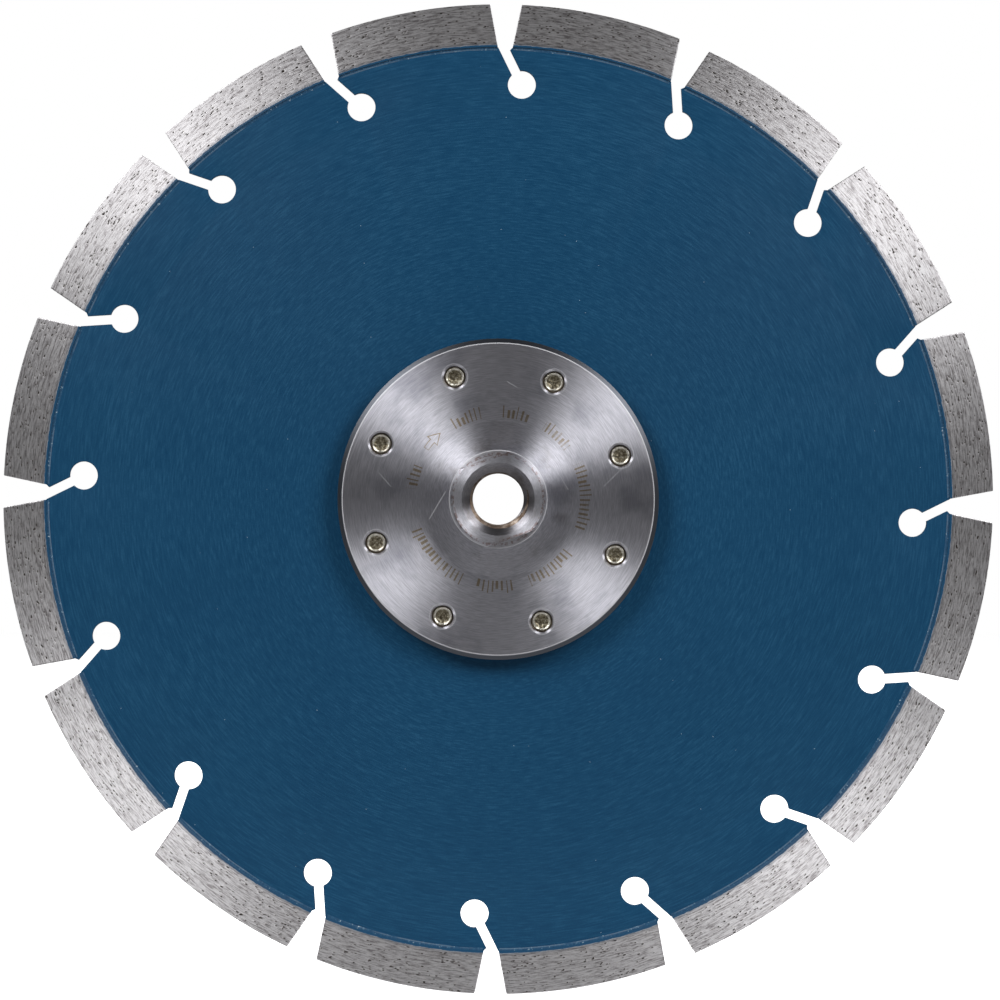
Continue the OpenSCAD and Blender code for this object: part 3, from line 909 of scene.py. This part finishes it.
def build_flange():
    """Bore, milled boss, cone, plate and spigot, joined where their rings meet."""
    edge = 0.1
    bore, zone = bore_surface()
    crown = np.linspace(0, boss_crown, 5)[1:]
    sphere_r = math.hypot(boss_r, boss_r - boss_crown)
    crown_rows = [(math.sqrt(sphere_r ** 2 - (boss_r - down) ** 2), boss_z - down) for down in crown]
    below = [(boss_r, boss_z - 1.2), (boss_r, ledge_z + 0.2), (boss_r, ledge_z)]
    boss = turned_rows([(boss_r - boss_crown, boss_z)] + crown_rows + below, True)
    flat_side = np.abs(np.cos(columns - flats_angle)) > math.cos(corner) - 1e-6
    on_flat = np.roll(flat_side, -1) & flat_side
    boss_zone = np.outer(np.arange(len(boss) - 1) >= len(crown_rows), on_flat).reshape(-1) * milled
    face_ring = np.stack([bore[-1], boss[0]])
    ledge = np.stack([boss[-1], turned_rows([(boss_r, ledge_z)])[0]])
    outside = soften([(boss_r, ledge_z), (boss_r, cone_z), (cone_r, plate_z), (cone_r + 0.6, plate_z)], edge)
    rim = soften([(flange_r - plate_bevel - 0.4, plate_z), (flange_r - plate_bevel, plate_z),
                  (flange_r, plate_z - plate_bevel), (flange_r, half_core), (flange_r - 0.4, half_core)], edge)
    spigot = soften([(spigot_r, half_core), (spigot_r, spigot_z), (thread_crest_r + spigot_bevel, spigot_z)], edge)
    parts = [grid(bore, zone), grid(face_ring, turned, True), grid(boss, boss_zone), grid(ledge, turned, True)]
    parts += [grid(turned_rows(profile)) for profile in (outside, rim, spigot)]
    mouths, backs = [], []
    mouth_highlight = [np.zeros(len(part[0])) for part in parts]
    for x, y in screw_places:
        hole = tapped_hole(x, y)
        row = np.arange(len(hole))
        parts.append(grid(hole, np.repeat(np.where(row[:-1] < 3, turned, threaded), screw_points)))
        # The mouth's top rows carry a painted highlight round each hole
        mouth_highlight.append(np.repeat(np.isin(row, (1, 2)) * 0.35, screw_points))
        mouths.append(hole[0, :, :2])
        backs.append(hole[-1, :, :2])

    rim_high, cone_foot, rim_low, spigot_top = (polar(r, columns, 0)[:, :2]
                                                for r in (rim[0, 0], outside[-1, 0], rim[-1, 0], spigot_r))
    parts.append(sheet([rim_high, cone_foot] + mouths, plate_z))
    parts.append(sheet([rim_low, spigot_top] + backs, half_core))
    mouth_highlight = np.concatenate(mouth_highlight + [np.zeros(len(part[0])) for part in parts[-2:]])
    return make_piece("turned_flange", parts, [turned_steel, milled_steel, thread_steel], values={"mouth_highlight": mouth_highlight})


flange = build_flange()
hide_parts("flange")

# %% [markdown]
# ## The screws
#
# Each screw is a lathe shape too, with three changes of radius that depend on angle: the hexagon socket is
# r = half its width / cos of the angle to the nearest flat, the shank winds an M5 thread, and the tip's face is
# roughened by noise, because it is the sheared end of the wire and shows on the flange side.

# %% Build the screws
def build_screw(number):
    """From the socket's floor over the head and the threaded shank to the bevelled tip, sunk by 1 - (r / R)^2."""
    seed = 900 + number
    turn = np.arange(screw_points) * 2 * np.pi / screw_points
    to_flat = (turn + math.pi / 6) % (math.pi / 3) - math.pi / 6
    hexagon = socket_w / 2 / np.cos(to_flat)
    foot = -half_core
    shank_z = np.linspace(foot + head_r - shank_r + 0.1, tip_z - tip_bevel - 0.05, 34)
    shank = shank_r - thread_depth(-turn, shank_z[:, None], screw_pitch, 0.4)
    rim_r = shank_r - tip_bevel
    rows = [(0.5 * hexagon, foot + socket_h), (hexagon - 0.05, foot + socket_h), (hexagon, foot + socket_h - 0.06),
            (hexagon, foot + 0.12), (hexagon + 0.12, foot), (3.2, foot), (head_r - 0.1, foot),
            (head_r, foot + 0.03), (head_r - 0.08, foot + 0.12), (shank_r, foot + head_r - shank_r)]
    rows += [(r, z) for r, z in zip(shank, shank_z)]
    rows += [(shank_r, tip_z - tip_bevel), (rim_r + 0.06, tip_z - 0.05), (rim_r - 0.06, tip_z)]
    for r in (1.9, 1.75, 1.55, 1.3, 1.0, 0.7, 0.35):
        rough = smooth_noise(seed, r * np.cos(turn) / 0.33 + 9, r * np.sin(turn) / 0.33 + 9)
        rows.append((r, tip_z - 0.03 - 0.34 * (1 - (r / 1.95) ** 2) - 0.14 * rough))
    ring = np.stack([polar(np.broadcast_to(r, screw_points), turn, z) for r, z in rows])
    ring = ring + np.array([*screw_places[number - 1], 0])
    parts = [grid(ring), fan(ring[0], ring[0].mean(0)), fan(ring[-1], ring[-1].mean(0))]
    end = np.repeat((np.arange(len(rows)) > len(rows) - 6) * 1.0, screw_points)
    sheared = np.concatenate([end, np.zeros(screw_points + 1), np.ones(screw_points + 1)])
    return make_piece(f"flange_screw_{number}", parts, [zinc_screw], values={"sheared": sheared})


for number in range(1, screw_count + 1):
    screw = build_screw(number)
    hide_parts(f"screw_{number}")

# %% [markdown]
# ## Floor, light and camera
#
# The blade stands on a white light table: the floor glows by itself, so it throws no shadow and gives the clean
# white surround of a catalogue page. Two softboxes stand in front, up to the left and up to the right. A groove
# turned round the axis mirrors a lamp only where the lamp's direction and the radius line up, so two lamps make
# four bright fans with dark quarters between them. A third, wider lamp lights the back. The floor sends more light
# up from the spot under the blade, which lifts the bevel's lower half.

# %% Floor and surround
def white_floor():
    """A square sheet 6 m across, touching the lowest segment."""
    low = cad_box[0][2] - 0.0002
    mesh = bpy.data.meshes.new("floor")
    mesh.from_pydata([(-3, -3, low), (3, -3, low), (3, 3, low), (-3, 3, low)], [], [(0, 1, 2, 3)])
    material, tree, shader = new_material("floor_white")
    place = add(tree, "TexCoord").outputs["Object"]
    grain = add(tree, "TexNoise", [place, 40.0])
    tone = add(tree, "ValToRGB", [grain], [(0.0, "#f4f4f4"), (1.0, "#fbfbfb")])
    seen = add(tree, "LightPath").outputs["Is Camera Ray"]
    across = add(tree, "VectorMath MULTIPLY", [place, (1, 1, 0)])
    near = step_mask(tree, add(tree, "VectorMath LENGTH", [across]), 0.25, 0.06)
    near = add(tree, "Math MULTIPLY_ADD", [near, 0.4, 0.12])
    feed(tree, shader, {"Base Color": add(tree, "Mix RGBA", {0: seen, "A": "#6e6e6e", "B": tone}),
                        "Roughness": 0.9, "Specular IOR Level": 0.0, "Emission Color": "#ffffff",
                        "Emission Strength": add(tree, "Mix FLOAT", [seen, near, 0.9])})
    mesh.materials.append(material)
    floor = bpy.data.objects.new("floor", mesh)
    bpy.context.collection.objects.link(floor)


def surround():
    """White where the camera looks past the blade, and a dim grey fill for everything that lights it."""
    world = bpy.data.worlds.new("studio")
    bpy.context.scene.world = world
    world.use_nodes = True
    tree = world.node_tree
    seen = add(tree, "LightPath").outputs["Is Camera Ray"]
    strength = add(tree, "Mix FLOAT", [seen, FILL, 1.0])
    feed(tree, tree.nodes["Background"], {"Color": "#ffffff", "Strength": strength})


FILL = 0.035
white_floor()
surround()
print("floor at", round(cad_box[0][2], 4), "m; fill", FILL)


# %% Lamps
def softbox(name, azimuth, tilt, distance, side, power):
    """A lamp aimed at the blade's centre: azimuth clockwise from the top, tilt away from the flange's axis."""
    data = bpy.data.lights.new(name, "AREA")
    data.shape = "SQUARE"
    data.size = side
    data.energy = power
    lamp = bpy.data.objects.new(name, data)
    a, b = math.radians(azimuth), math.radians(tilt)
    way = np.array([math.sin(b) * math.sin(a), -math.cos(b), math.sin(b) * math.cos(a)])
    lamp.location = way * distance
    lamp.rotation_euler = Vector(way.tolist()).to_track_quat("Z", "Y").to_euler()
    bpy.context.collection.objects.link(lamp)
    print(name, "at", (way * distance).round(2), "m,", power, "W")


softbox("softbox_left", 315, 54, 2.0, 0.9, 29)
softbox("softbox_right", 52, 54, 2.0, 0.9, 29)
softbox("softbox_back", 20, 140, 2.0, 1.2, 32)

# %% Camera
# Straight on, 1.1 m away, with a long lens: the frame's half width is 116.2 mm at the core's front face
camera_distance, half_view = 1.1, 0.1162
camera_data = bpy.data.cameras.new("camera")
camera_data.sensor_width = 36.0
camera_data.lens = camera_data.sensor_width / 2 * (camera_distance - half_core / 1000) / half_view
camera = bpy.data.objects.new("camera", camera_data)
camera.location = (0.00042, -camera_distance, -0.0002)
camera.rotation_euler = (math.pi / 2, 0, 0)
bpy.context.collection.objects.link(camera)
bpy.context.scene.camera = camera
bpy.context.scene.view_settings.view_transform = "Standard"
print("lens", round(camera_data.lens, 1), "mm")
